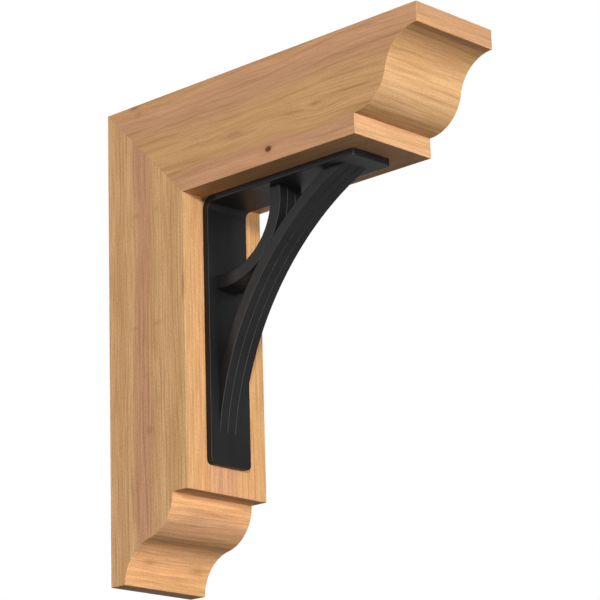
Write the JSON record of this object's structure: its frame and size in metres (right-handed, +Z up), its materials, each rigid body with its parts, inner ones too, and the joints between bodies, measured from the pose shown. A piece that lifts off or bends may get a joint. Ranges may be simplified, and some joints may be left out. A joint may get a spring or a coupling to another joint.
{
  "type": "wooden corbel bracket",
  "caption": "Mitred timber corbel bracket with ogee-cut ends, a bent black iron angle in its corner and curved iron braces, fixed to a wall to carry a beam, shelf or mantel.",
  "frame": {"origin": "centre of the flat wall face, halfway up the leg's back", "axes": "+Z up, +Y into the wall, so the arm reaches out along -Y, and +X to the right seen from the front"},
  "size_m": [0.1016, 0.3937, 0.4572],
  "materials": {
    "cedar": "matte",
    "black_iron": "satin"
  },
  "bodies": {
    "root": {"horizontal_arm": "cedar", "vertical_leg": "cedar", "iron_angle": "black_iron", "long_brace_bar_left": "black_iron", "long_brace_bar_middle": "black_iron", "long_brace_bar_right": "black_iron", "counter_brace_bar_left": "black_iron", "counter_brace_bar_middle": "black_iron", "counter_brace_bar_right": "black_iron"}
  },
  "joints": []
}
